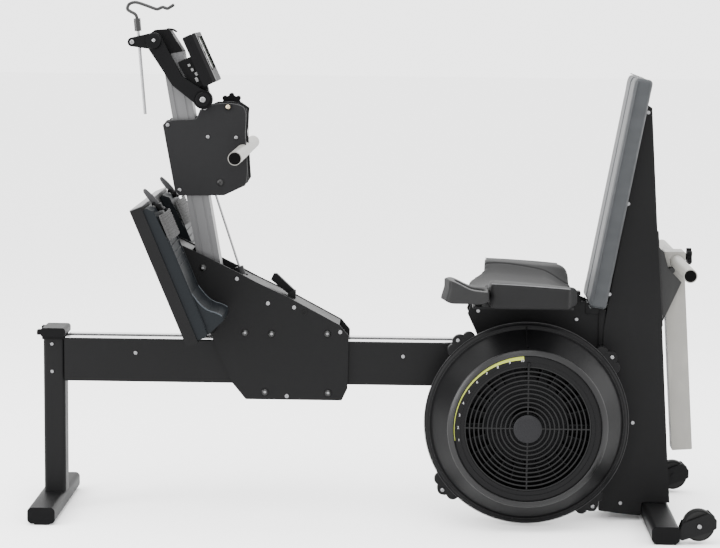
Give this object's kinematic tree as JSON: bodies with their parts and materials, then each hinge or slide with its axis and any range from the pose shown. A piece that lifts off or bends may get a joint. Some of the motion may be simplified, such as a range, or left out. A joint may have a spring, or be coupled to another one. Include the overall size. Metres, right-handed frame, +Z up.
{
  "type": "seated strength rowing machine",
  "caption": "Seated rowing and press trainer: a rolling carriage with foot boards and a handle column on a rail, an air flywheel, and a fixed seat with a back rest.",
  "frame": {"origin": "on the floor, midway between the two ends and midway between the sides", "axes": "+X towards the back rest along the rail, +Y away from the flywheel side, +Z up"},
  "size_m": [1.772, 0.66, 1.3538],
  "materials": {
    "black_paint": "fine texture powder coat",
    "dark_paint": "satin powder coat",
    "steel_track": "brushed",
    "screw_steel": "satin",
    "bearing_steel": "ground",
    "black_plastic": "fine moulded grain",
    "fan_plastic": "moulded, satin",
    "seat_foam": "moulded urethane skin",
    "grip_plastic": "soft moulded",
    "pad_fabric": "woven vinyl",
    "alloy": "bead blasted, anodised",
    "foot_plastic": "moulded",
    "strap_web": "woven nylon",
    "pale_paint": "smooth powder coat",
    "roller_plastic": "turned nylon",
    "chain_steel": "nickel plated",
    "key_rubber": "matt",
    "bezel_plastic": "moulded, satin",
    "wheel_plastic": "moulded"
  },
  "bodies": {
    "frame": {"front_foot": "black_paint", "foot_caps_and_pads": "black_plastic", "front_post": "black_paint", "rail": "black_paint", "rail_tracks": "steel_track", "rail_end_cap": "black_plastic", "frame_screws": "screw_steel", "drive_plates": "black_paint", "axle_bearings": "bearing_steel", "chain_guides": "black_plastic", "drive_chain": "chain_steel", "fan_housing_back": "fan_plastic", "fan_housing_front": "fan_plastic", "fan_grille": "fan_plastic", "seat_frame": "black_paint", "seat_pad": "seat_foam", "seat_grip": "grip_plastic", "back_frame": "black_paint", "back_pad": "pad_fabric", "rear_foot": "black_paint", "caster_arms": "black_paint", "storage_bracket": "dark_paint"},
    "damper": {"damper_ring": "fan_plastic"},
    "flywheel": {"flywheel": "alloy"},
    "sprocket": {"drive_sprocket": "chain_steel"},
    "front_idler": {"front_idler": "roller_plastic"},
    "rear_idler": {"rear_idler": "roller_plastic"},
    "caster_near": {"caster_wheel_near": "wheel_plastic"},
    "caster_far": {"caster_wheel_far": "wheel_plastic"},
    "carriage": {"carriage_plates": "black_paint", "carriage_cover": "dark_paint", "carriage_screws": "screw_steel", "column": "alloy", "column_head": "black_plastic", "foot_plate": "black_paint", "foot_boards": "foot_plastic", "foot_straps": "strap_web"},
    "upper_roller_1": {"upper_roller_1": "roller_plastic"},
    "upper_roller_2": {"upper_roller_2": "roller_plastic"},
    "lower_roller_1": {"lower_roller_1": "roller_plastic"},
    "lower_roller_2": {"lower_roller_2": "roller_plastic"},
    "selector_lever": {"selector_lever": "black_plastic"},
    "heel_near": {"heel_cup_near": "foot_plastic"},
    "heel_far": {"heel_cup_far": "foot_plastic"},
    "strut_cylinder": {"strut_cylinder": "dark_paint"},
    "strut_rod": {"strut_rod": "chain_steel"},
    "slider": {"slider_plates": "dark_paint", "handle_bar": "pale_paint"},
    "slider_knob": {"slider_knob": "black_plastic"},
    "monitor_arm": {"monitor_arm": "black_plastic"},
    "monitor": {"monitor_case": "black_plastic", "monitor_bezel": "bezel_plastic"},
    "device_holder": {"device_holder": "bearing_steel"},
    "stored_handle": {"stored_handle": "pale_paint"},
    "stored_knob": {"stored_knob": "black_plastic"},
    "monitor_key_1": {"monitor_key_1": "key_rubber"},
    "monitor_key_2": {"monitor_key_2": "key_rubber"},
    "monitor_key_3": {"monitor_key_3": "key_rubber"},
    "monitor_key_4": {"monitor_key_4": "key_rubber"},
    "monitor_key_5": {"monitor_key_5": "key_rubber"}
  },
  "joints": [
    {"name": "carriage_slide", "type": "slide", "parent": "frame", "child": "carriage", "axis": [1, 0, 0], "range_m": [-0.33, 0.18]},
    {"name": "upper_roller_spin_1", "type": "hinge", "parent": "carriage", "child": "upper_roller_1", "pos_m": [-0.332, 0, 0.49], "axis": [0, 1, 0], "range_deg": [-962.8, 526.5]},
    {"name": "upper_roller_spin_2", "type": "hinge", "parent": "carriage", "child": "upper_roller_2", "pos_m": [-0.115, 0, 0.49], "axis": [0, 1, 0], "range_deg": [-962.8, 526.5]},
    {"name": "lower_roller_spin_1", "type": "hinge", "parent": "carriage", "child": "lower_roller_1", "pos_m": [-0.279, 0, 0.332], "axis": [0, 1, 0], "range_deg": [-526.5, 962.8]},
    {"name": "lower_roller_spin_2", "type": "hinge", "parent": "carriage", "child": "lower_roller_2", "pos_m": [-0.112, 0, 0.332], "axis": [0, 1, 0], "range_deg": [-526.5, 962.8]},
    {"name": "front_idler_spin", "type": "hinge", "parent": "frame", "child": "front_idler", "pos_m": [-0.762, 0, 0.42], "axis": [0, 1, 0], "range_deg": [-811, 443.7]},
    {"name": "rear_idler_spin", "type": "hinge", "parent": "frame", "child": "rear_idler", "pos_m": [0.468, 0, 0.415], "axis": [0, 1, 0], "range_deg": [-668.8, 366.1]},
    {"name": "sprocket_spin", "type": "hinge", "parent": "frame", "child": "sprocket", "pos_m": [0.408, 0, 0.275], "axis": [0, 1, 0], "range_deg": [-569.1, 311.8]},
    {"name": "flywheel_spin", "type": "hinge", "parent": "frame", "child": "flywheel", "pos_m": [0.408, 0, 0.275], "axis": [0, 1, 0], "continuous": true},
    {"name": "damper_turn", "type": "hinge", "parent": "frame", "child": "damper", "pos_m": [0.408, 0, 0.275], "axis": [0, 1, 0], "range_deg": [-90, 0]},
    {"name": "caster_spin_near", "type": "hinge", "parent": "frame", "child": "caster_near", "pos_m": [0.842, -0.293, 0.049], "axis": [0, 1, 0], "continuous": true},
    {"name": "caster_spin_far", "type": "hinge", "parent": "frame", "child": "caster_far", "pos_m": [0.842, 0.293, 0.049], "axis": [0, 1, 0], "continuous": true},
    {"name": "selector_turn", "type": "hinge", "parent": "carriage", "child": "selector_lever", "pos_m": [-0.212, 0, 0.59], "axis": [0, 1, 0], "range_deg": [0, 25]},
    {"name": "heel_slide_near", "type": "slide", "parent": "carriage", "child": "heel_near", "axis": [-0.3859, 0, 0.9225], "range_m": [0, 0.06]},
    {"name": "heel_slide_far", "type": "slide", "parent": "carriage", "child": "heel_far", "axis": [-0.3859, 0, 0.9225], "range_m": [0, 0.06]},
    {"name": "slider_slide", "type": "slide", "parent": "carriage", "child": "slider", "axis": [-0.1736, 0, 0.9848], "range_m": [-0.125, 0]},
    {"name": "strut_swing", "type": "hinge", "parent": "carriage", "child": "strut_cylinder", "pos_m": [-0.29894, 0, 0.49451], "axis": [0, 1, 0], "range_deg": [-4.5, 0.5]},
    {"name": "strut_stroke", "type": "slide", "parent": "strut_cylinder", "child": "strut_rod", "axis": [-0.3123, 0, 0.95], "range_m": [-0.126, 0.001]},
    {"name": "knob_turn", "type": "hinge", "parent": "slider", "child": "slider_knob", "pos_m": [-0.379, 0.06, 1.083], "axis": [0, 1, 0], "range_deg": [-180, 180]},
    {"name": "arm_turn", "type": "hinge", "parent": "carriage", "child": "monitor_arm", "pos_m": [-0.572, -0.058, 1.252], "axis": [0, 1, 0], "range_deg": [-30, 0]},
    {"name": "monitor_tilt", "type": "hinge", "parent": "monitor_arm", "child": "monitor", "pos_m": [-0.443, -0.058, 1.102], "axis": [0, 1, 0], "range_deg": [0, 25]},
    {"name": "key_press_1", "type": "slide", "parent": "monitor", "child": "monitor_key_1", "axis": [-0.9114, 0, -0.4115], "range_m": [0, 0.0015], "stiffness_N_per_m": 300},
    {"name": "key_press_2", "type": "slide", "parent": "monitor", "child": "monitor_key_2", "axis": [-0.9114, 0, -0.4115], "range_m": [0, 0.0015], "stiffness_N_per_m": 300},
    {"name": "key_press_3", "type": "slide", "parent": "monitor", "child": "monitor_key_3", "axis": [-0.9114, 0, -0.4115], "range_m": [0, 0.0015], "stiffness_N_per_m": 300},
    {"name": "key_press_4", "type": "slide", "parent": "monitor", "child": "monitor_key_4", "axis": [-0.9114, 0, -0.4115], "range_m": [0, 0.0015], "stiffness_N_per_m": 300},
    {"name": "key_press_5", "type": "slide", "parent": "monitor", "child": "monitor_key_5", "axis": [-0.9114, 0, -0.4115], "range_m": [0, 0.0015], "stiffness_N_per_m": 300},
    {"name": "holder_slide", "type": "slide", "parent": "monitor_arm", "child": "device_holder", "axis": [-0.083, 0, 0.9965], "range_m": [0, 0.06]},
    {"name": "stored_lift", "type": "slide", "parent": "frame", "child": "stored_handle", "axis": [-0.0698, 0, 0.9976], "range_m": [0, 0.06]},
    {"name": "stored_knob_turn", "type": "hinge", "parent": "stored_handle", "child": "stored_knob", "pos_m": [0.828, 0, 0.7], "axis": [1, 0, 0], "range_deg": [-180, 180]}
  ],
  "couplings": [
    {"joint": "upper_roller_spin_1", "follows": "carriage_slide", "rad_per_m": 50.761},
    {"joint": "upper_roller_spin_2", "follows": "carriage_slide", "rad_per_m": 50.761},
    {"joint": "lower_roller_spin_1", "follows": "carriage_slide", "rad_per_m": -50.761},
    {"joint": "lower_roller_spin_2", "follows": "carriage_slide", "rad_per_m": -50.761},
    {"joint": "front_idler_spin", "follows": "carriage_slide", "rad_per_m": 42.735},
    {"joint": "rear_idler_spin", "follows": "carriage_slide", "rad_per_m": 35.211},
    {"joint": "sprocket_spin", "follows": "carriage_slide", "rad_per_m": 29.94},
    {"joint": "strut_swing", "follows": "slider_slide", "rad_per_m": 0.48016},
    {"joint": "strut_stroke", "follows": "slider_slide", "ratio": 0.98534}
  ]
}
